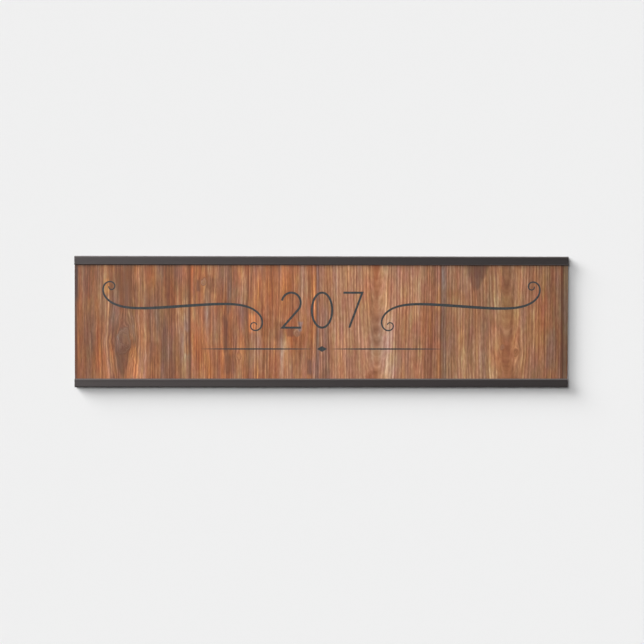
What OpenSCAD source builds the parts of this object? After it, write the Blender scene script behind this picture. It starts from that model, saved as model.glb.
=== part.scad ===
// Office door sign: a printed plate that slides into an extruded aluminium channel on the wall.
// Millimetres. X runs along the sign, Z is up, the face looks towards -Y and the wall is the
// plane Y = 0. The origin is on the wall, behind the middle of the sign.
// Depths are counted from the wall towards the viewer, heights from the middle of the sign.

/* [Plate] */
// Length of the channel, to which the plate is cut
sign_w = 254; // [150:1:400]
// Height of the plate
plate_h = 63.5; // [56:0.5:110]
// Thickness of the plate
plate_t = 1.6; // [1:0.1:3.2]
// Radius of the plate's corners
plate_corner_r = 0.8; // [0.4:0.1:3]
// Thickness of the printed film on the plate's face
film_t = 0.15; // [0.1:0.05:0.3]
// How far each end of the plate stays inside the channel
end_setback = 0.1; // [0.1:0.1:2]

/* [Channel] */
// Thickness of the web behind the plate
web_t = 2.6; // [2:0.1:4]
// Thickness of the walls above and below the plate
rail_wall = 1.7; // [1.4:0.1:2.6]
// Height of each lip, from the outside of the channel to its nose
lip_h = 4.5; // [4:0.1:9]
// Thickness of each lip, whose nose is a full round
lip_t = 1.1; // [1:0.1:2.4]
// Radius of the long outer edges at the front
front_edge_r = 0.5; // [0.3:0.1:1.2]
// Radius of the long outer edges at the wall
back_edge_r = 0.4; // [0.2:0.1:1]
// Radius of the long inner corners of the plate's groove
groove_r = 0.3; // [0.1:0.05:0.6]

/* [Sliding fit] */
// Clearance above the plate, and again below it
edge_gap = 0.25; // [0.1:0.05:0.6]
// Clearance in front of the plate, and again behind it
face_gap = 0.2; // [0.1:0.05:0.5]

/* [Foam tape] */
// Width of a strip
tape_w = 19; // [10:0.5:24]
// Thickness of a strip, pressed
tape_t = 0.8; // [0.6:0.1:1.6]
// How far a strip stands out of its recess, towards the wall
tape_proud = 0.3; // [0.2:0.05:0.5]
// From the outside of the channel to the near edge of a strip
tape_margin = 5; // [3:0.5:8]
// From the end of the channel to the end of a strip
tape_setback = 6; // [1:0.5:30]
// Room on each side of a strip in its recess
tape_room = 0.5; // [0.2:0.1:1]

/* [Screw holes] */
// From the end of the channel to the axis of its screw hole
hole_margin = 25.4; // [12:0.1:60]
// Diameter of a hole, for a No. 6 wood screw
hole_d = 4; // [3:0.1:5]
// Diameter of the countersink where it meets the groove
sink_d = 7; // [6:0.1:7.2]
// Full angle of the countersink
sink_angle = 82; // [80:1:90]

/* [Hidden] */
$fn = 64;
// How far a cut reaches past the face that it opens
overcut = 0.5;
// Depths, from the wall to the viewer
land_d = tape_proud;
recess_d = tape_t;
groove_floor_d = land_d + web_t;
plate_back_d = groove_floor_d + face_gap;
plate_front_d = plate_back_d + plate_t;
film_front_d = plate_front_d + film_t;
lip_back_d = film_front_d + face_gap;
lip_front_d = lip_back_d + lip_t;
// Heights, from the middle of the sign
groove_z = plate_h / 2 + edge_gap;
outer_z = groove_z + rail_wall;
nose_r = lip_t / 2;
nose_z = outer_z - lip_h + nose_r;
tape_z = outer_z - tape_margin - tape_w / 2;
// Lengths along the sign
plate_w = sign_w - 2 * end_setback;
tape_l = sign_w - 2 * tape_setback;
hole_x = sign_w / 2 - hole_margin;
// The countersink's depth follows from its two diameters and its angle
sink_slope = tan(sink_angle / 2);
sink_depth = (sink_d - hole_d) / 2 / sink_slope;

// Rectangle from depth d0 to d1 and height z0 to z1, with round corners
module round_rectangle(d0, d1, z0, z1, r) {
    translate([d0 + r, z0]) square([d1 - d0 - 2 * r, z1 - z0]);
    translate([d0, z0 + r]) square([d1 - d0, z1 - z0 - 2 * r]);
    for (d = [d0 + r, d1 - r], z = [z0 + r, z1 - r])
        translate([d, z]) circle(r);
}

// Outline of the extrusion before its groove is opened
module section_block() {
    intersection() {
        round_rectangle(land_d, lip_front_d + 2 * front_edge_r, -outer_z, outer_z, back_edge_r);
        round_rectangle(land_d - 2 * front_edge_r, lip_front_d, -outer_z, outer_z, front_edge_r);
    }
}

// The groove that holds the plate, and the window between the lips
module section_groove() {
    round_rectangle(groove_floor_d, lip_back_d, -groove_z, groove_z, groove_r);
    translate([plate_front_d, -nose_z])
        square([lip_front_d - plate_front_d + overcut, 2 * nose_z]);
}

// The shallow recess that keeps a tape strip in place
module section_tape_recess() {
    recess_w = tape_w + 2 * tape_room;
    translate([land_d - overcut, tape_z - recess_w / 2])
        square([recess_d - land_d + overcut, recess_w]);
}

// Section of the channel: depth along its first axis, height along its second
module channel_section() {
    difference() {
        section_block();
        section_groove();
        section_tape_recess();
        mirror([0, 1]) section_tape_recess();
    }
    for (z = [-nose_z, nose_z])
        translate([lip_back_d + nose_r, z]) circle(nose_r);
}

// Countersunk screw hole through the web, from the wall to the groove
module screw_hole() {
    rotate([90, 0, 0]) {
        cylinder(d = hole_d, h = groove_floor_d + overcut);
        translate([0, 0, groove_floor_d - sink_depth])
            cylinder(d1 = hole_d, d2 = sink_d + 2 * overcut * sink_slope, h = sink_depth + overcut);
    }
}

// Sheet with the outline of the plate, between two depths
module plate_sheet(from_d, to_d) {
    rotate([90, 0, 0])
        translate([0, 0, from_d])
        linear_extrude(to_d - from_d)
        round_rectangle(-plate_w / 2, plate_w / 2, -plate_h / 2, plate_h / 2, plate_corner_r);
}

// Foam strip in the upper recess
module tape_strip() {
    translate([-tape_l / 2, -recess_d, tape_z - tape_w / 2])
        cube([tape_l, tape_t, tape_w]);
}

module holder() {
    color("#474443")
        difference() {
            rotate([90, 0, -90])
                linear_extrude(sign_w, center = true)
                channel_section();
            for (x = [-hole_x, hole_x])
                translate([x, 0, 0]) screw_hole();
        }
}

module insert_plate() {
    color("#35312f") plate_sheet(plate_back_d, plate_front_d);
}

module print_film() {
    color("#a2714f") plate_sheet(plate_front_d, film_front_d);
}

module upper_tape() {
    color("#d9d8d2") tape_strip();
}

module lower_tape() {
    color("#d9d8d2") mirror([0, 0, 1]) tape_strip();
}

holder();
insert_plate();
print_film();
upper_tape();
lower_tape();
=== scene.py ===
# %% [markdown]
# # An office door sign
# The sign is a printed plate that slides into a black aluminium channel, which foam tape holds on a wall.
# The solids come from the CAD frame at their real size. This lesson gives them their finishes, makes the
# foam and the printed marks as new meshes, and sets up the wall, the lamps and the camera.
# Lengths are metres, X runs along the sign, Z is up and the face looks towards -Y.

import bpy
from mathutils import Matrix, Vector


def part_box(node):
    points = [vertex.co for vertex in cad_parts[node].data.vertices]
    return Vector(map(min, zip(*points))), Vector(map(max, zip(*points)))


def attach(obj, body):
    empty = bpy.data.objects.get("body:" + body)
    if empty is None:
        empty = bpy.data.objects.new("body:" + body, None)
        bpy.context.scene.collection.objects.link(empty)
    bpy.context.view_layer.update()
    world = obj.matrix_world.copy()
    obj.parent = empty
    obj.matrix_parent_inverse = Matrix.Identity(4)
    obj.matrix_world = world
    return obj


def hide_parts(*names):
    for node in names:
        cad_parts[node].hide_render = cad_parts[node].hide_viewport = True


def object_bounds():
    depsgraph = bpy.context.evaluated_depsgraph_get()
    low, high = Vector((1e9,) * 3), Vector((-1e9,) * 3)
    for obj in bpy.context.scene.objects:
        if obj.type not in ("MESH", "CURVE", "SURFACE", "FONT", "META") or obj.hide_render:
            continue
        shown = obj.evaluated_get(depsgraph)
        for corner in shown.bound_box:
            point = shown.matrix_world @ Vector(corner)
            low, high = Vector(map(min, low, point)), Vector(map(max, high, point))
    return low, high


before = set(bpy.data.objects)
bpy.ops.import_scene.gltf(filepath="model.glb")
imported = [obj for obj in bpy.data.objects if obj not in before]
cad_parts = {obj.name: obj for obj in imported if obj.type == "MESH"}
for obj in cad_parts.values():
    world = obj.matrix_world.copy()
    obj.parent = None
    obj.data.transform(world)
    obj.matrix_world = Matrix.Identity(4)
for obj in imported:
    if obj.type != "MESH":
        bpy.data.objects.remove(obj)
cad_box = [list(corner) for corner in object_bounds()]

import math

import bpy
import numpy as np
from mathutils import Matrix, Vector

MM = 0.001
scene = bpy.context.scene
scene.view_settings.view_transform = "Standard"
holder_low, holder_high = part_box("holder")
film_low, film_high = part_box("print_film")
print("channel, mm:", [round(side / MM, 2) for side in holder_high - holder_low])

# %% [markdown]
# ## The camera
# The photograph is taken almost square on, from a little above and to the left: the upper edge of the sign
# is a hair wider than the lower one, and the left end a hair higher than the right one. A long lens at a
# fair distance gives that. The focal length follows from the distance and from how many pixels the sign's
# known length covers.

# %% Camera
PHOTO_PX = 644
SIGN_LENGTH_PX = 494.15
SIGN_MIDDLE_PX = (322.1, 321.9)
CAMERA_DISTANCE = 1.3
CAMERA_AZIMUTH = math.radians(-1.8)
CAMERA_ELEVATION = math.radians(2.3)
CAMERA_ROLL = math.radians(0.12)

sign_length = holder_high.x - holder_low.x
px_per_metre = SIGN_LENGTH_PX / sign_length
camera_data = bpy.data.cameras.new("camera")
camera_data.sensor_width = 36
camera_data.lens = px_per_metre * CAMERA_DISTANCE * camera_data.sensor_width / PHOTO_PX
aim = Vector((0, holder_low.y, 0))
aim.x += (PHOTO_PX / 2 - SIGN_MIDDLE_PX[0]) / px_per_metre
aim.z -= (PHOTO_PX / 2 - SIGN_MIDDLE_PX[1]) / px_per_metre
aside = math.sin(CAMERA_AZIMUTH) * math.cos(CAMERA_ELEVATION)
ahead = math.cos(CAMERA_AZIMUTH) * math.cos(CAMERA_ELEVATION)
towards_camera = Vector((aside, -ahead, math.sin(CAMERA_ELEVATION)))
turn = (-towards_camera).to_track_quat("-Z", "Y").to_matrix().to_4x4()
place = Matrix.Translation(aim + towards_camera * CAMERA_DISTANCE)
camera = bpy.data.objects.new("camera", camera_data)
camera.matrix_world = place @ turn @ Matrix.Rotation(CAMERA_ROLL, 4, "Z")
scene.collection.objects.link(camera)
scene.camera = camera
print("lens:", round(camera_data.lens, 1), "mm at", CAMERA_DISTANCE, "m")

# %% [markdown]
# ## Finishes as formulas
# A finish is a tree of shader nodes. Wiring each node by hand hides the idea behind it, so a sheet adds a
# node and returns its result, and a finish then reads like the formula it is. The room and the wall use the
# same sheet.

# %% A sheet for writing node trees


def colour(red, green, blue):
    """An sRGB colour, 0 to 255, as the linear RGBA that shaders work in."""
    share = np.array([red, green, blue]) / 255
    linear = np.where(share <= 0.04045, share / 12.92, ((share + 0.055) / 1.055) ** 2.4)
    return (*linear.tolist(), 1.0)


class Sheet:
    """A node tree. Each method adds a node and gives back the socket that holds its result."""

    def __init__(self, tree):
        self.tree = tree

    def node(self, kind, **settings):
        made = self.tree.nodes.new(kind)
        for name, value in settings.items():
            setattr(made, name, value)
        return made

    def feed(self, socket, value):
        """Join the socket to value where that is a socket, or else type the value in."""
        if isinstance(value, bpy.types.NodeSocket):
            self.tree.links.new(value, socket)
        else:
            socket.default_value = value

    def math(self, operation, *values):
        made = self.node("ShaderNodeMath", operation=operation)
        for socket, value in zip(made.inputs, values):
            self.feed(socket, value)
        return made.outputs[0]

    def total(self, *values):
        result = values[0]
        for value in values[1:]:
            result = self.math("ADD", result, value)
        return result

    def times(self, a, b):
        return self.math("MULTIPLY", a, b)

    def less(self, a, b):
        return self.math("SUBTRACT", a, b)

    def greatest(self, *values):
        result = values[0]
        for value in values[1:]:
            result = self.math("MAXIMUM", result, value)
        return result

    def off(self, value, middle):
        """How far value is from middle, on either side."""
        return self.math("ABSOLUTE", self.less(value, middle))

    def vector(self, x, y, z):
        made = self.node("ShaderNodeCombineXYZ")
        for socket, value in zip(made.inputs, (x, y, z)):
            self.feed(socket, value)
        return made.outputs[0]

    def split(self, vector):
        made = self.node("ShaderNodeSeparateXYZ")
        self.feed(made.inputs[0], vector)
        return made.outputs

    def noise(self, x, y, z, detail=2.0, roughness=0.5):
        """Cloudy values around 0.5, one cloud to a unit of the coordinates given."""
        made = self.node("ShaderNodeTexNoise")
        self.feed(made.inputs["Vector"], self.vector(x, y, z))
        made.inputs["Scale"].default_value = 1.0
        made.inputs["Detail"].default_value = detail
        made.inputs["Roughness"].default_value = roughness
        return made.outputs[0]

    def span(self, value, low, high, to_low=0.0, to_high=1.0, smooth=True):
        """value carried from low..high to to_low..to_high, held at the ends."""
        made = self.node("ShaderNodeMapRange", interpolation_type="SMOOTHSTEP" if smooth else "LINEAR")
        for socket, given in zip(made.inputs, (value, low, high, to_low, to_high)):
            self.feed(socket, given)
        return made.outputs[0]

    def ramp(self, value, *stops):
        """The colour at value along several (place, colour) stops."""
        made = self.node("ShaderNodeValToRGB")
        elements = made.color_ramp.elements
        while len(elements) < len(stops):
            elements.new(1.0)
        for element, (at, tone) in zip(elements, stops):
            element.position = at
            element.color = tone
        self.feed(made.inputs[0], value)
        return made.outputs[0]

    def mix(self, share, a, b):
        """Colour a turned towards colour b by share."""
        made = self.node("ShaderNodeMix", data_type="RGBA")
        self.feed(made.inputs[0], share)
        self.feed(made.inputs[6], a)
        self.feed(made.inputs[7], b)
        return made.outputs[2]


class Finish(Sheet):
    """A material, with the object's own coordinates x, y and z in millimetres to write it in."""

    def __init__(self, name):
        self.material = bpy.data.materials.new(name)
        self.material.use_nodes = True
        super().__init__(self.material.node_tree)
        self.shader = self.tree.nodes["Principled BSDF"]
        scaled = self.node("ShaderNodeVectorMath", operation="SCALE")
        self.feed(scaled.inputs[0], self.node("ShaderNodeTexCoord").outputs["Object"])
        scaled.inputs["Scale"].default_value = 1 / MM
        self.x, self.y, self.z = self.split(scaled.outputs[0])

    def set(self, **values):
        """Set the shader's own sockets, with _ for a space in their names."""
        for name, value in values.items():
            self.feed(self.shader.inputs[name.replace("_", " ")], value)

    def cloud(self, x, y, z, **settings):
        """Noise whose clouds are x, y and z millimetres long."""
        sizes = zip((self.x, self.y, self.z), (x, y, z))
        return self.noise(*(self.times(axis, 1 / size) for axis, size in sizes), **settings)

    def bump(self, height, distance):
        """Tilt the surface as if it rose by height times distance, in metres."""
        made = self.node("ShaderNodeBump")
        self.feed(made.inputs["Height"], height)
        made.inputs["Distance"].default_value = distance
        self.set(Normal=made.outputs[0])

    def paint(self, node):
        """Make this the finish of a CAD node."""
        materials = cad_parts[node].data.materials
        materials.clear()
        materials.append(self.material)
        print(node, "has", self.material.name, "with", len(self.tree.nodes), "shader nodes")


def mesh_piece(name, points, faces, finish, smooth=True):
    """A mesh object at the origin, with its place in its points."""
    mesh = bpy.data.meshes.new(name)
    mesh.from_pydata(np.asarray(points).reshape(-1, 3).tolist(), [], faces)
    mesh.polygons.foreach_set("use_smooth", np.full(len(mesh.polygons), smooth))
    mesh.materials.append(finish)
    mesh.update()
    piece = bpy.data.objects.new(name, mesh)
    scene.collection.objects.link(piece)
    return piece


print("a sheet can write:", [name for name in vars(Sheet) if not name.startswith("_")])

# %% [markdown]
# ## The wall
# The sign hangs on a pale painted wall, which catches its soft shadow. The wall isn't part of the object.
# Looked at from behind, it would hide the sign's back, so its far side lets the eye and the light through:
# Backfacing is 1 there, and a shadow ray never needs to stop at a wall that has nothing behind it. A short
# ray at the sign's own height comes from its back, and it passes too, so that the black back shows the
# pale room behind.

# %% Wall
WALL_HALF = 2.0
WALL_COLOUR = colour(240, 240, 240)
WALL_ROUGHNESS = 0.9
SHORT_RAY = 5 * MM

wall_paint = bpy.data.materials.new("wall_paint")
wall_paint.use_nodes = True
wall_sheet = Sheet(wall_paint.node_tree)
matt = wall_paint.node_tree.nodes["Principled BSDF"]
matt.inputs["Base Color"].default_value = WALL_COLOUR
matt.inputs["Roughness"].default_value = WALL_ROUGHNESS
matt.inputs["Specular IOR Level"].default_value = 0.0
wall_point = wall_sheet.node("ShaderNodeNewGeometry").outputs
wall_ray = wall_sheet.node("ShaderNodeLightPath").outputs
short = wall_sheet.math("LESS_THAN", wall_ray["Ray Length"], SHORT_RAY)
height = wall_sheet.math("ABSOLUTE", wall_sheet.split(wall_point["Position"])[2])
from_back = wall_sheet.times(short, wall_sheet.math("LESS_THAN", height, holder_high.z))
passes = wall_sheet.greatest(wall_point["Backfacing"], wall_ray["Is Shadow Ray"], from_back)
either = wall_sheet.node("ShaderNodeMixShader")
wall_sheet.feed(either.inputs[0], passes)
wall_sheet.feed(either.inputs[1], matt.outputs[0])
wall_sheet.feed(either.inputs[2], wall_sheet.node("ShaderNodeBsdfTransparent").outputs[0])
wall_sheet.feed(wall_paint.node_tree.nodes["Material Output"].inputs["Surface"], either.outputs[0])

wall_y = cad_box[1][1]
wall_corners = [(x * WALL_HALF, wall_y, z * WALL_HALF) for x, z in ((-1, -1), (1, -1), (1, 1), (-1, 1))]
wall = mesh_piece("wall", wall_corners, [(0, 1, 2, 3)], wall_paint)
print("wall at y =", wall_y)

# %% [markdown]
# ## The light
# In the photograph the shadow falls to the right and below, fades over about 12 mm and is missing on the
# other two sides: a wide soft light stands far to the upper left. Two weaker ones, nearer the camera, keep
# the shadow from going black. Sun lamps light the whole wall evenly, and their spread sets how soft a
# shadow is. The level is plain: a surface that faces the room renders about as bright as its colour is
# written.
#
# The rails are brighter on the left, as if a window stood there. A lamp for gloss alone gives that sheen
# and leaves the shadow as it is. The room is bright above, most of all on the left, and dim below, which
# only glossy surfaces see: it adds to the light line along the upper edges of the rails. Behind the wall it
# is pale all round, for views of the back. A glossy ray that comes from the wall counts as the wall's own
# light, and Diffuse Depth keeps that out.

# %% Lamps and room


def sun(name, direction, spread, strength, matt=True, glossy=True):
    """A sun in a direction from the sign, spread degrees wide, for matt or glossy surfaces or both."""
    data = bpy.data.lights.new(name, "SUN")
    data.angle = math.radians(spread)
    data.energy = strength
    made = bpy.data.objects.new(name, data)
    made.location = direction
    made.rotation_euler = (-Vector(direction)).to_track_quat("-Z", "Y").to_euler()
    made.visible_diffuse = matt
    made.visible_glossy = glossy
    scene.collection.objects.link(made)
    print(name, "at", direction)


sun("key_light", (-1.5, -1.0, 1.173), 37.5, 2.85)
sun("soft_light", (-0.41, -1.0, 0.44), 30, 0.77, glossy=False)
sun("fill_light", (-0.19, -1.0, 0.15), 13, 1.02, glossy=False)
sun("sheen_light", (-0.32, -1.0, 0.06), 6, 1.36, matt=False)
sun("back_light", (0.3, 1.0, 0.5), 40, 3.2)

# Light levels: all round, then as the camera sees the room, then as gloss sees its parts
AMBIENT = 0.05
PALE = 0.95
CEILING = 1.2
WINDOW = 5.0
BEHIND = 0.6
DIM = 0.02
# Where one part of the room gives way to the next, as parts of a direction one unit long
WINDOW_EDGE = 0.3
WALL_EDGE = 0.1
CEILING_EDGES = (0.2, 0.6)
room = bpy.data.worlds.new("room")
room.use_nodes = True
sky = Sheet(room.node_tree)
ray = sky.node("ShaderNodeLightPath").outputs
rightward, backward, upward = sky.split(sky.node("ShaderNodeTexCoord").outputs["Generated"])
mirrored = sky.greatest(ray["Is Glossy Ray"], ray["Is Transmission Ray"])
from_sign = sky.less(1.0, sky.math("MINIMUM", ray["Diffuse Depth"], 1.0))
overhead = sky.span(rightward, WINDOW_EDGE, -WINDOW_EDGE, CEILING, WINDOW)
level = sky.span(backward, -WALL_EDGE, WALL_EDGE, DIM, BEHIND)
reflected = sky.span(upward, *CEILING_EDGES, level, overhead)
in_mirror = sky.times(sky.times(mirrored, from_sign), reflected)
in_view = sky.times(ray["Is Camera Ray"], PALE)
background = room.node_tree.nodes["Background"]
background.inputs["Color"].default_value = (1.0, 1.0, 1.0, 1.0)
sky.feed(background.inputs["Strength"], sky.total(AMBIENT, in_mirror, in_view))
scene.world = room

# %% [markdown]
# ## Black anodised aluminium
# The channel is extruded: hot aluminium is pushed through a die, which leaves fine lines along its whole
# length, and the black is an anodised layer, satin and a little uneven. Noise that is stretched along X and
# squeezed across it gives the die lines. The saw leaves lines of its own on the two ends. Along the front
# edges and round the ends the metal shows through in small broken patches of wear. The round noses of the
# lips and the upper front edge are greyer all along: that grey is a painted highlight, as light from above
# would give, and under the upper lip it also paints light into the shade of the nose.

# %% Channel finish
# The grey of the painted highlight on the lip noses and the upper front edge, then bare metal where worn
PAINTED_HIGHLIGHT_COLOUR = colour(74, 70, 69)
METAL_COLOUR = colour(122, 118, 114)
# Where each zone begins and where it is full, in millimetres from the front, the outside or the end
# The lip, nose and top zones place the painted highlight; the front, outer, rim and cut zones place the
# wear
LIP_ZONE = (1.4, 1.2)
NOSE_ZONE = (3.7, 4.1)
FRONT_ZONE = (0.7, 0.2)
TOP_ZONE = (0.8, 0.4)
OUTER_ZONE = (0.45, 0.05)
RIM_ZONE = (0.5, 0.05)
CUT_ZONE = (0.02, 0.0)

anodised = Finish("black_anodised")
die_lines = anodised.cloud(170, 0.2, 0.2, detail=4.0, roughness=0.6)
patches = anodised.cloud(20, 3.3, 3.3, detail=3.0)
speckle = anodised.cloud(1.6, 0.4, 0.4)
saw_lines = anodised.cloud(5, 3, 0.12, detail=3.0)
behind_front = anodised.less(anodised.y, holder_low.y / MM)
below_top = anodised.less(holder_high.z / MM, anodised.z)
from_outside = anodised.less(holder_high.z / MM, anodised.off(anodised.z, 0))
from_end = anodised.less(holder_high.x / MM, anodised.off(anodised.x, 0))
on_front = anodised.span(behind_front, *FRONT_ZONE)
# Painted highlight: both lip noses and the upper front edge are lightened all along, as light from above
# would
nose_highlight = anodised.times(anodised.span(behind_front, *LIP_ZONE), anodised.span(from_outside, *NOSE_ZONE))
top_edge_highlight = anodised.times(on_front, anodised.span(below_top, *TOP_ZONE))
painted_highlight = anodised.greatest(nose_highlight, top_edge_highlight)
front_edge = anodised.times(on_front, anodised.span(from_outside, *OUTER_ZONE))
on_end = anodised.span(from_end, *CUT_ZONE)
end_edge = anodised.times(anodised.less(1.0, on_end), anodised.span(from_end, *RIM_ZONE))
broken = anodised.span(anodised.total(speckle, anodised.times(patches, 0.5)), 0.72, 0.95, 0.0, 0.5)
wear = anodised.times(anodised.greatest(front_edge, end_edge), broken)
along = anodised.total(anodised.times(die_lines, 0.6), anodised.times(patches, 0.4))
tone = anodised.total(along, anodised.times(on_end, anodised.less(saw_lines, along)))
black = anodised.ramp(tone, (0.3, colour(30, 28, 28)), (0.7, colour(39, 36, 36)))
# The painted highlight turns the black to a lighter grey on the noses and along the upper edge
black = anodised.mix(painted_highlight, black, PAINTED_HIGHLIGHT_COLOUR)
anodised.set(
    Base_Color=anodised.mix(wear, black, METAL_COLOUR),
    Roughness=anodised.span(die_lines, 0.25, 0.75, 0.32, 0.38, smooth=False),
    IOR=1.5,
    Specular_Tint=(1.0, 0.88, 0.87, 1.0),
)
anodised.bump(die_lines, 0.008 * MM)
anodised.paint("holder")

# %% [markdown]
# ## The wood print: how a board gets its figure
# The film shows upright boards. A board is a flat cut through a log, and its lines are growth rings. Far
# from the heart of the log the cut meets them side on, and they run straight and close together. Over the
# heart it skims them, and because a log tapers they close to pointed arches there. Both follow from one
# formula: the number of a ring is the distance to the pith, the square root of (x - heart)^2 + depth^2,
# with a depth that changes slowly with height.
#
# A knot pushes the rings apart like a post in a stream. The stream function of flow round a post is known,
# x - R^2 x / (x^2 + z^2), with x and z counted from the post. Here z is shortened, because a knot disturbs
# the grain much further along it than across. Inside the knot are rings of its own, its rim is dark, and a
# pale ring lies just inside the rim.

# %% Boards and knots
# Each board, in millimetres: left edge, colour, heart line, strength of tint, hair lines, stripes and waves
BOARDS = (
    (-128.0, (139, 91, 61), -40.0, 1.3, 2.7, 0.10, 0.75),
    (-67.2, (154, 98, 63), -110.0, 1.3, 2.7, 0.10, 0.6),
    (-2.4, (159, 109, 78), 28.5, 0.7, 1.8, 0.24, 0.4),
    (61.6, (140, 95, 65), 95.5, 0.8, 1.7, 0.24, 0.5),
    (124.5, (108, 79, 58), 160.0, 0.7, 1.8, 0.04, 0.4),
)
# How far the print sits to the left on its plate
PRINT_OFFSET = 0.4
# The pith's depth at mid-height and its lean, and how far the grain sways, slowly and fast
PITH_DEPTH = 5.0
PITH_LEAN = -0.05
WANDER_MM = 2.5
DRIFT_MM = 0.9
# How uneven a knot's outline is, how soft its push is in the middle, and where its pale ring lies
KNOT_UNEVEN = 2.4
KNOT_SOFT = 0.35
PALE_RING = 0.82
# Each knot: across, up, half width, half length, darker rim, darker core, greyer, pale ring, smoothness
KNOTS = (
    (-101.1, -9.0, 3.6, 6.0, 0.22, -0.04, 0.22, 0.22, 1.0),
    (-60.2, 21.0, 1.4, 1.8, 0.48, -0.20, 0.14, 0.10, 0.4),
    (-42.0, -17.5, 1.1, 1.6, 0.30, 0.05, 0.10, 0.10, 0.4),
    (-12.4, -5.4, 1.4, 2.2, 0.20, 0.02, 0.38, 0.08, 0.2),
    (28.2, -2.5, 0.9, 3.5, 0.30, 0.30, -0.03, 0.00, 0.4),
    (93.2, -12.8, 0.9, 1.5, 0.10, -0.10, 0.20, 0.08, 0.4),
    (100.4, -15.8, 1.4, 2.2, 0.26, 0.22, -0.06, 0.12, 0.6),
)

wood = Finish("wood_print")
wood.x = wood.total(wood.x, PRINT_OFFSET)
edges, tones, hearts, tints, hairs, stripe_strengths, waves = zip(*BOARDS)
passed = [wood.math("GREATER_THAN", wood.x, edge) for edge in edges[1:]]


def by_board(values):
    """The board's own value: each edge that is passed adds the step to the next board's."""
    return wood.total(values[0], *(wood.times(p, b - a) for p, a, b in zip(passed, values, values[1:])))


seed = by_board([17.3 * i for i in range(len(BOARDS))])
wander = wood.noise(wood.times(wood.x, 1 / 25), wood.times(wood.z, 1 / 60), seed)
drift = wood.noise(wood.times(wood.x, 1 / 9), wood.times(wood.z, 1 / 22), seed)
slow = wood.times(wood.less(wander, 0.5), WANDER_MM)
fast = wood.times(wood.less(drift, 0.5), DRIFT_MM)
swerve = wood.total(slow, fast)
wavy = wood.total(wood.x, wood.times(swerve, by_board(waves)))
uneven_x = wood.less(wood.cloud(4, 4, 7), 0.5)
uneven_z = wood.less(wood.cloud(3, 3, 5), 0.5)
grain = wavy
bright = 0.0
greyer = 0.0
calm = 0.0
for across, up, half_width, half_length, rim, core, grey, ring_light, smooth in KNOTS:
    dx = wood.times(wood.less(wavy, across), 1 / half_width)
    dx = wood.math("MULTIPLY_ADD", uneven_x, KNOT_UNEVEN, dx)
    dz = wood.times(wood.less(wood.z, up), 1 / half_length)
    dz = wood.math("MULTIPLY_ADD", uneven_z, KNOT_UNEVEN, dz)
    reach = wood.total(wood.times(dx, dx), wood.times(dz, dz))
    push = wood.math("DIVIDE", wood.times(dx, half_width), wood.total(reach, KNOT_SOFT))
    grain = wood.less(grain, push)
    own_rings = wood.math("MULTIPLY_ADD", wood.math("SQRT", reach), half_width, across)
    grain = wood.total(grain, wood.times(wood.span(reach, 1.2, 0.8), wood.less(own_rings, grain)))
    inside = wood.span(reach, 1.7, 0.8)
    pale = wood.times(wood.span(wood.off(wood.math("SQRT", reach), PALE_RING), 0.16, 0.04), ring_light)
    dark = wood.times(inside, wood.span(reach, 0.5, 1.1, core, rim))
    bright = wood.total(wood.less(bright, dark), pale)
    greyer = wood.total(greyer, wood.times(inside, grey))
    calm = wood.greatest(calm, wood.times(inside, smooth))
from_heart = wood.less(grain, by_board(hearts))
depth = wood.math("MULTIPLY_ADD", wood.z, PITH_LEAN, PITH_DEPTH)
rings = wood.math("SQRT", wood.total(wood.times(from_heart, from_heart), wood.times(depth, depth)))
print(len(BOARDS), "boards,", len(KNOTS), "knots")

# %% [markdown]
# ## Bands and wedges
# Light and dark bands run the whole height of a board, and dark joints with a bright edge lie between two
# boards. Where a branch has grown near the cut, the wood is dark or bright in a tapering wedge, such as the
# tail below a knot or a flame over the heart. Each is placed one by one. A wedge is 1 where the distance to
# its middle line is less than a half width that grows or shrinks with height. All of them add up to one
# brightness, counted in logarithms, so that two dark marks that meet never reach black.

# %% Bands and wedges
# Each band, in millimetres: middle, half width, how much darker and how much greyer
BANDS = (
    (-119, 5, 0.22, 0.02), (-109.5, 2.5, -0.40, 0.00), (-93, 4.5, -0.36, 0.00), (-79, 6, 0.26, 0.07),
    (-72, 4, -0.28, 0.03), (-54, 4, 0.16, 0.02), (-47.5, 3, 0.20, 0.05), (-42, 1.8, -0.20, 0.00),
    (-38, 0.9, 0.40, 0.00), (-34, 3, -0.12, 0.00), (-30, 0.9, 0.35, -0.05), (-26, 1.2, 0.30, -0.05),
    (-18, 4, -0.24, 0.02), (-9, 3, -0.14, 0.05),
    (1, 4, 0.20, 0.05), (8, 3, -0.16, 0.03), (20.5, 4.5, -0.26, 0.02), (28, 1.5, 0.20, -0.06),
    (33.5, 5, -0.32, 0.02), (44.5, 2, 0.16, 0.02), (56, 6, 0.36, 0.02), (73, 3.5, -0.20, 0.02),
    (90, 4, -0.24, 0.00), (97, 3, 0.14, 0.00), (102, 4, -0.16, 0.00), (120, 4, 0.18, 0.04),
)
# Each joint, in the same way: a dark line, in places with a bright edge or a greyish strip beside it
JOINTS = (
    (-126.3, 1.5, 0.80, 0.42), (-67.4, 1.0, 0.60, -0.02), (-66.2, 0.8, -0.36, 0.00),
    (-4.9, 0.7, 0.35, -0.05), (-3.7, 0.8, -0.30, -0.02), (-2.0, 1.1, 0.36, 0.32),
    (60.6, 0.7, -0.30, -0.03), (61.5, 0.8, 0.60, 0.00), (63.2, 1.7, 0.24, 0.24),
    (124.3, 1.0, 1.10, -0.04), (126.6, 1.2, 0.10, 0.00),
)
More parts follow.
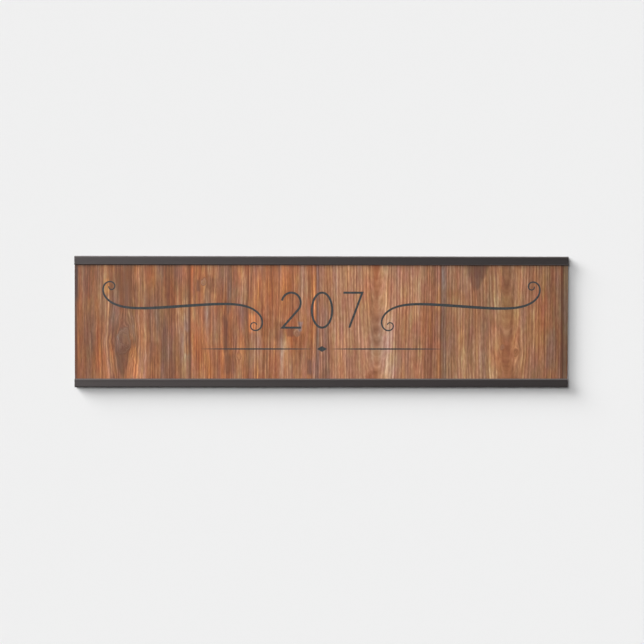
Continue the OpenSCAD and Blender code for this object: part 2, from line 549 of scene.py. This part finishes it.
# Each wedge: across, up, half width, half length, how much wider upwards, darker, greyer
WEDGES = (
    (-102.2, -20.0, 2.9, 8.0, 0.7, 0.46, 0.04), (-101.0, 17.0, 4.0, 11.0, 0.2, 0.46, -0.14),
    (-101.0, -5.0, 7.0, 9.0, 0.3, 0.08, 0.14), (-126.2, 20.0, 1.6, 9.0, 0.0, 0.55, 0.36),
    (-96.4, -21.0, 2.8, 9.0, -0.5, -0.38, -0.26), (-107.0, -21.0, 1.8, 8.0, -0.4, -0.28, -0.12),
    (-47.4, 18.0, 1.2, 13.0, 0.0, 0.40, 0.24), (-49.4, -6.0, 1.1, 10.0, 0.0, 0.74, 0.28),
    (-40.5, 17.0, 1.8, 9.0, 0.0, -0.36, -0.08), (-6.2, -23.4, 1.1, 4.0, 0.0, 0.45, 0.30),
    (-15.9, -5.3, 1.6, 2.4, 0.0, 0.66, 0.26), (-10.0, -9.0, 1.4, 3.0, 0.0, 0.24, 0.00),
    (28.0, 26.0, 1.6, 6.0, 0.7, 0.20, -0.08), (79.6, 24.0, 4.1, 8.4, 0.8, 0.57, 0.20),
    (67.5, 23.0, 6.0, 7.0, 0.0, -0.20, 0.13), (118.5, -14.0, 3.0, 11.0, 0.0, 0.10, 0.18),
    (95.0, 18.0, 2.0, 11.0, 0.8, 0.22, -0.06), (91.8, 19.0, 1.2, 10.0, 0.4, -0.32, -0.14),
    (95.6, -19.0, 2.6, 11.0, 0.35, 0.12, -0.06), (96.0, -10.0, 8.0, 18.0, 0.0, -0.24, -0.02),
    (84.0, -18.0, 5.0, 14.0, -0.2, -0.20, 0.00),
    (2.5, -27.0, 2.4, 3.0, 0.0, 0.25, 0.06), (26.5, -27.6, 2.4, 2.2, 0.0, 0.40, 0.00),
    (-104.8, -11.0, 0.9, 4.5, -0.2, -0.34, 0.14), (-96.2, -5.5, 1.6, 4.0, 0.0, -0.16, 0.10),
    (-106.6, -8.0, 1.6, 7.0, 0.0, 0.20, 0.00), (81.6, 26.5, 3.6, 4.0, 0.2, 0.22, 0.06),
    (-10.8, -2.4, 1.1, 2.6, 0.3, -0.10, 0.60), (-34.2, 8.5, 3.2, 15.0, 0.0, -0.02, -0.20),
    (-63.2, 18.6, 0.9, 3.0, 0.0, 0.42, 0.24), (-57.6, 20.4, 1.8, 3.6, 0.2, 0.26, 0.04),
    (-21.0, -5.0, 3.5, 5.0, 0.0, 0.38, 0.00), (-35.5, -1.0, 1.8, 5.0, 0.0, -0.45, -0.26),
    (-95.3, 12.5, 2.5, 9.0, 0.0, 0.36, -0.04), (-84.7, -16.0, 2.5, 6.0, 0.0, 0.38, 0.00),
    (-68.5, -10.5, 2.0, 6.0, 0.0, 0.28, -0.34), (-54.9, 18.5, 2.0, 4.0, 0.0, 0.38, 0.10),
    (-110.0, 18.0, 1.6, 4.0, 0.0, -0.26, -0.20), (61.0, -2.0, 2.5, 8.0, 0.0, 0.32, 0.10),
    (-47.5, -22.0, 3.5, 5.0, 0.0, 0.34, 0.12), (-69.8, 6.0, 1.6, 6.0, 0.0, -0.34, -0.10),
    (-28.6, -3.5, 1.8, 5.0, 0.0, 0.34, -0.04), (89.5, 2.0, 2.0, 5.0, 0.0, 0.30, 0.04),
)
# The share of its half width over which a band or a joint line has its full strength
BAND_CORE = 0.3
JOINT_CORE = 0.5
# How ragged the sides and the ends of a wedge are, and its least half width in millimetres
RAGGED_SIDES = 0.9
RAGGED_ENDS = 0.6
LEAST_WIDTH = 0.3
# Marks darker than this hide part of the streaks
CALM_FROM = 0.4
ragged = wood.less(wood.cloud(1.4, 1.4, 7), 0.5)


def line_mark(place, middle, half, core):
    """1 near the middle, out to the core share of half, and fading to 0 at half."""
    return wood.span(wood.off(place, middle), half, half * core)


def wedge(across, up, half_width, half_length, taper):
    """1 inside a ragged spot of these half sizes, 0 outside.

    At height h, counted in half lengths from its middle, its half width is w (1 + taper h).
    """
    height = wood.times(wood.less(wood.z, up), 1 / half_length)
    width = wood.math("MULTIPLY_ADD", height, half_width * taper, half_width)
    aside = wood.math("DIVIDE", wood.off(wavy, across), wood.greatest(width, LEAST_WIDTH))
    aside = wood.math("MULTIPLY_ADD", ragged, RAGGED_SIDES, aside)
    beyond = wood.math("MULTIPLY_ADD", ragged, RAGGED_ENDS, wood.math("ABSOLUTE", height))
    return wood.times(wood.span(aside, 1.3, 0.6), wood.span(beyond, 1.2, 0.7))


marks = [(line_mark(grain, at, half, BAND_CORE), dark, grey) for at, half, dark, grey in BANDS]
marks += [(line_mark(wood.x, at, half, JOINT_CORE), dark, grey) for at, half, dark, grey in JOINTS]
marks += [(wedge(*shape), dark, grey) for *shape, dark, grey in WEDGES]
for share, dark, grey in marks:
    bright = wood.less(bright, wood.times(share, dark))
    greyer = wood.total(greyer, wood.times(share, grey))
    if dark > CALM_FROM:
        calm = wood.greatest(calm, share)
print(len(BANDS), "bands,", len(JOINTS), "joint lines,", len(WEDGES), "wedges")

# %% [markdown]
# ## Streaks, stripes and flecks
# Streaks are noise read along the rings, squeezed across the grain and drawn out along it, from broad
# seasons down to hair lines. Straight-grained boards also have fine even stripes, a sine of the ring number
# whose phase wanders, and which fades over the heart. Short flecks are pores. Slower streaks shift the tint
# between orange and a greyish mauve: red falls as blue rises. Green has streaks of its own, which turn the
# wood olive in places. Light wood is paler, not only brighter, so red follows the brightness less than
# blue.

# %% Wood finish
STRIPE_MM = 1.45
# How much of the fine streaks a knot or a dark mark takes away
CALM_SHARE = 0.5
# How far red, green and blue follow the brightness and the tint
BRIGHT_SHARES = (0.72, 1.00, 1.20)
TINT_SHARES = (-0.50, 0.15, 1.20)


def streaks(width, length, shift, detail=2.0):
    """Noise around 0 whose streaks are about width wide and length long, in millimetres."""
    across = wood.math("MULTIPLY_ADD", rings, 1 / width, shift)
    aside = wood.math("MULTIPLY_ADD", wood.x, 1 / 20, seed)
    return wood.less(wood.noise(across, wood.times(wood.z, 1 / length), aside, detail), 0.5)


def crisp(noise, width):
    """Noise held at plus or minus 1 outside a width around 0, so that streaks get clear edges."""
    return wood.span(noise, -width, width, -1.0, 1.0)


hair = wood.times(streaks(0.55, 26, 57.0), by_board(hairs))
ring = crisp(streaks(1.2, 34, 71.0), 0.15)
season = crisp(streaks(3.5, 28, 31.0), 0.12)
band = streaks(10, 28, 0.0)
fleck = streaks(0.45, 3.0, 83.0)
phase = wood.total(wood.times(rings, 2 * math.pi / STRIPE_MM), wood.times(streaks(5, 40, 19.0), 9.0))
off_heart = wood.span(wood.math("ABSOLUTE", from_heart), 2.0, 7.0, 0.25, 1.0)
stripes = wood.times(wood.times(wood.math("SINE", phase), off_heart), by_board(stripe_strengths))
fine = wood.total(stripes, hair, wood.times(ring, 0.12), wood.times(fleck, 1.3), wood.times(season, 0.08))
fine = wood.times(fine, wood.math("MULTIPLY_ADD", calm, -CALM_SHARE, 1.0))
bright = wood.total(bright, fine, wood.times(band, 0.7))

tint = wood.total(wood.times(streaks(3, 30, 111.0), 0.8), streaks(8, 30, 139.0))
cool = wood.total(wood.times(tint, by_board(tints)), greyer)
olive = wood.times(wood.total(streaks(1.6, 10, 163.0), streaks(5, 14, 171.0)), 0.4)


def printed(part, bright_share, tint_share, extra=0.0):
    """One channel: the board's own value times e to the power of brightness and tint."""
    tinted = wood.math("MULTIPLY_ADD", cool, tint_share, extra)
    power = wood.math("MULTIPLY_ADD", bright, bright_share, tinted)
    return wood.times(wood.math("EXPONENT", power), by_board(part))


channels = zip(zip(*(colour(*tone)[:3] for tone in tones)), BRIGHT_SHARES, TINT_SHARES, (0.0, olive, 0.0))
wood.set(
    Base_Color=wood.vector(*(printed(*channel) for channel in channels)),
    Roughness=wood.span(ring, -1.0, 1.0, 0.50, 0.60, smooth=False),
    Specular_IOR_Level=0.35,
)
wood.paint("print_film")

# %% [markdown]
# ## The plate
# Behind the film is a black-brown plastic sheet. At rest only its sawn ends show, and slid out its matt
# back shows too, so it gets a faint mottle all over and fine paler saw marks across the ends.

# %% Plate finish
plastic = Finish("black_plastic")
mottle = plastic.cloud(2.5, 2.5, 2.5, detail=5.0)
saw_marks = plastic.cloud(2.5, 0.11, 0.7)
at_end = plastic.span(plastic.off(plastic.x, 0), film_high.x / MM - 0.05, film_high.x / MM, 0.0, 0.35)
plastic_tone = plastic.total(mottle, plastic.times(saw_marks, at_end))
plastic.set(
    Base_Color=plastic.ramp(plastic_tone, (0.3, colour(45, 42, 40)), (0.8, colour(61, 57, 54))),
    Roughness=plastic.span(mottle, 0.3, 0.7, 0.48, 0.60, smooth=False),
)
plastic.bump(mottle, 0.02 * MM)
plastic.paint("insert_plate")

# %% [markdown]
# ## Foam tape
# Two strips of white foam tape hold the sign. Foam is soft: pressed to the wall, its long sides bulge a
# little and its faces stay flat. The strip is a section carried along X. The section is a superellipse, a
# circle whose sine and cosine are raised to a small power, which is nearly a rectangle with round edges. At
# each end the section shrinks almost to a point in the plane of the cut, and a tiny face closes the mesh.

# %% Foam strips
SECTION_POINTS = 64
STATIONS = 90
SQUARENESS = 0.16
END_SCALES = (0.001, 0.9)
CELL_MM = 0.22

foam = Finish("foam_tape")
cells = foam.node("ShaderNodeTexVoronoi")
foam.feed(cells.inputs["Vector"], foam.vector(foam.x, foam.y, foam.z))
cells.inputs["Scale"].default_value = 1 / CELL_MM
pores = foam.span(cells.outputs["Distance"], 0.1, 0.6)
foam_tone = foam.total(foam.times(pores, 0.5), foam.times(foam.cloud(12, 2, 5, detail=3.0), 0.5))
foam.set(
    Base_Color=foam.ramp(foam_tone, (0.15, colour(176, 173, 162)), (0.65, colour(224, 222, 213))),
    Roughness=0.75,
)
foam.bump(pores, 0.06 * MM)


def foam_strip(low, high):
    """Points (ring, section, xyz) of a strip that fills the box from low to high.

    Across the section, depth and height are the box's half sizes times sine and cosine, each raised to a
    small power with its sign kept. Along X the rings are even, and two more at each end shrink in its
    plane.
    """
    angle = np.linspace(0, 2 * np.pi, SECTION_POINTS, endpoint=False)
    depth = np.sign(np.sin(angle)) * np.abs(np.sin(angle)) ** SQUARENESS
    height = np.sign(np.cos(angle)) * np.abs(np.cos(angle)) ** SQUARENESS
    x = np.concatenate([[low.x] * 2, np.linspace(low.x, high.x, STATIONS), [high.x] * 2])
    scale = np.concatenate([END_SCALES, np.ones(STATIONS), END_SCALES[::-1]])
    middle, half = (low + high) / 2, (high - low) / 2
    points = np.empty((len(x), SECTION_POINTS, 3))
    points[..., 0] = x[:, None]
    points[..., 1] = middle.y + half.y * depth * scale[:, None]
    points[..., 2] = middle.z + half.z * height * scale[:, None]
    return points


def skin(rings, sections, closed=False):
    """Quads between neighbouring rings of a section, and a face over each end or, if closed, none."""
    index = np.arange(rings * sections).reshape(rings, sections)
    if closed:
        index = np.concatenate([index, index[:1]])
    ahead = np.roll(index, -1, axis=1)
    quads = np.stack([index[:-1], index[1:], ahead[1:], ahead[:-1]], axis=-1).reshape(-1, 4).tolist()
    ends = [] if closed else [index[0].tolist(), index[-1, ::-1].tolist()]
    return quads + ends


for node in ("upper_tape", "lower_tape"):
    points = foam_strip(*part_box(node))
    strip = mesh_piece(node + "_foam", points, skin(*points.shape[:2]), foam.material)
    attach(strip, "channel")
    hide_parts(node)
    print(strip.name, len(strip.data.polygons), "faces")

# %% [markdown]
# ## Ink strokes
# The print carries a room number between two scrolls, with a fine rule below, in dark ink. Every stroke is
# a ribbon: half its width lies on each side of a line. At a corner the side points move out along the
# bisector until both sides stay parallel to their lines, as a joiner's mitre does. Ink is a coat on the
# film, so a ribbon stands only 0.03 mm proud of it, and its back sinks in a little to leave no gap.

# %% Strokes
INK_THICKNESS = 0.03 * MM
INK_SINK = 0.01 * MM

ink = Finish("print_ink")
cover = ink.cloud(1.2, 1.2, 2.0, detail=4.0)
ink.set(
    Base_Color=ink.ramp(cover, (0.3, colour(30, 36, 38)), (0.75, colour(58, 60, 60))),
    Roughness=0.55,
    Specular_IOR_Level=0.35,
)


def ribbon(path, half, closed=False):
    """Points (ring, 4, xyz) of an ink stroke along (x, z) points, half wide on each side.

    The normal at a point is the mean of its two lines' normals, made longer by one over the cosine of half
    the turn between them.
    """
    path = np.asarray(path, float)
    step = np.roll(path, -1, axis=0) - path
    step /= np.linalg.norm(step, axis=1)[:, None]
    before = np.roll(step, 1, axis=0)
    if not closed:
        step[-1] = before[-1]
        before[0] = step[0]
    mean = (step + before) / 2
    mean /= (mean**2).sum(axis=1)[:, None]
    side = np.stack([-mean[:, 1], mean[:, 0]], axis=1) * np.broadcast_to(half, len(path))[:, None]
    points = np.empty((len(path), 4, 3))
    points[:, :2, ::2] = (path + side)[:, None]
    points[:, 2:, ::2] = (path - side)[:, None]
    points[:, [0, 3], 1] = film_low.y - INK_THICKNESS
    points[:, [1, 2], 1] = film_low.y + INK_SINK
    return points


def ink_piece(name, strokes, closed=()):
    """One mesh of several strokes. Those whose numbers are in closed run back into their own start."""
    faces, start = [], 0
    for number, stroke in enumerate(strokes):
        made = skin(*stroke.shape[:2], closed=number in closed)
        faces += [[corner + start for corner in face] for face in made]
        start += stroke.shape[0] * stroke.shape[1]
    points = np.concatenate([stroke.reshape(-1, 3) for stroke in strokes])
    piece = mesh_piece(name, points, faces, ink.material, smooth=False)
    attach(piece, "plate")
    print(name, len(piece.data.polygons), "faces")


print("ink has", len(ink.tree.nodes), "shader nodes")

# %% [markdown]
# ## The number
# Each digit is one unbroken stroke in a box one unit high: a two is a bowl that runs straight on into its
# slanting line, then a foot; a nought is an ellipse; a seven is a bar and a stem.

# %% Digits
NUMBER = "207"
NUMBER_HEIGHT = 18 * MM
NUMBER_FOOT = -3.0 * MM
DIGIT_STEP = 0.88
DIGIT_WIDTH = 0.60
STROKE_HALF = 0.55 * MM


def arc(middle, radii, start, end, count=60):
    """Points round an ellipse from the angle start to the angle end, in degrees."""
    angle = np.radians(np.linspace(start, end, count))
    return np.stack([middle[0] + radii[0] * np.cos(angle), middle[1] + radii[1] * np.sin(angle)], axis=1)


DIGITS = {
    "2": np.concatenate([arc((0.30, 0.71), (0.27, 0.29), 168, -44), [(0.05, 0.0), (0.58, 0.0)]]),
    "0": arc((0.30, 0.5), (0.29, 0.5), 90, 450)[:-1],
    "7": np.array([(0.03, 1.0), (0.57, 1.0), (0.20, 0.0)]),
}
number_width = (DIGIT_STEP * (len(NUMBER) - 1) + DIGIT_WIDTH) * NUMBER_HEIGHT
digit_strokes = []
for count, digit in enumerate(NUMBER):
    corner = (count * DIGIT_STEP * NUMBER_HEIGHT - number_width / 2, NUMBER_FOOT)
    digit_strokes.append(ribbon(DIGITS[digit] * NUMBER_HEIGHT + corner, STROKE_HALF, closed=digit == "0"))
ink_piece("room_number", digit_strokes, closed=[i for i, digit in enumerate(NUMBER) if digit == "0"])

# %% [markdown]
# ## Scrolls and rules
# A scroll is a line whose bend grows towards both ends, one way at one end and the other way at the other.
# With u from 0 to 1 along it, the bend is k (u^p - (1-u)^p). Adding the bend up gives the heading, and
# adding up the heading's cosine and sine gives the line. A pen presses in the middle of a stroke, so the
# width swells there. The rule below is two straight strokes that swell too, with a lozenge between them.

# %% Ornaments
SCROLL_LENGTH = 120 * MM
SCROLL_BEND = 0.80 / MM
SCROLL_POWER = 11
SCROLL_MIDDLE = (72 * MM, 8 * MM)
SCROLL_HEADING = math.radians(-4)
PEN_HALF = (0.26 * MM, 0.72 * MM)
RULE_HEIGHT = -14 * MM
RULE_ENDS = (5 * MM, 62 * MM)
RULE_HALF = 0.36 * MM
LOZENGE_HALF = (2.6 * MM, 1.5 * MM)
# The width left at the tips, as a share of the greatest
RULE_TIP = 0.1
LOZENGE_TIP = 0.02


def scroll(side, count=400):
    """An S-shaped pen stroke, mirrored to the given side of the number."""
    u = np.linspace(0, 1, count)
    step = SCROLL_LENGTH / (count - 1)
    heading = np.cumsum(SCROLL_BEND * (u**SCROLL_POWER - (1 - u) ** SCROLL_POWER)) * step
    heading += SCROLL_HEADING - heading[count // 2]
    line = np.cumsum(np.stack([np.cos(heading), np.sin(heading)], axis=1), axis=0) * step
    line += np.array(SCROLL_MIDDLE) - line[count // 2]
    half = PEN_HALF[0] + (PEN_HALF[1] - PEN_HALF[0]) * np.sin(np.pi * u)
    return ribbon(line * (side, 1), half)


def rule(side, count=60):
    """A straight stroke that swells in the middle."""
    u = np.linspace(0, 1, count)
    x = side * (RULE_ENDS[0] + u * (RULE_ENDS[1] - RULE_ENDS[0]))
    line = np.stack([x, np.full(count, RULE_HEIGHT)], axis=1)
    return ribbon(line, RULE_HALF * np.maximum(np.sin(np.pi * u) ** 0.5, RULE_TIP))


ink_piece("scrolls", [scroll(-1), scroll(1)])
lozenge_line = [(x * LOZENGE_HALF[0], RULE_HEIGHT) for x in (-1, 0, 1)]
lozenge = ribbon(lozenge_line, np.array([LOZENGE_TIP, 1, LOZENGE_TIP]) * LOZENGE_HALF[1])
ink_piece("fine_rules", [rule(-1), lozenge, rule(1)])
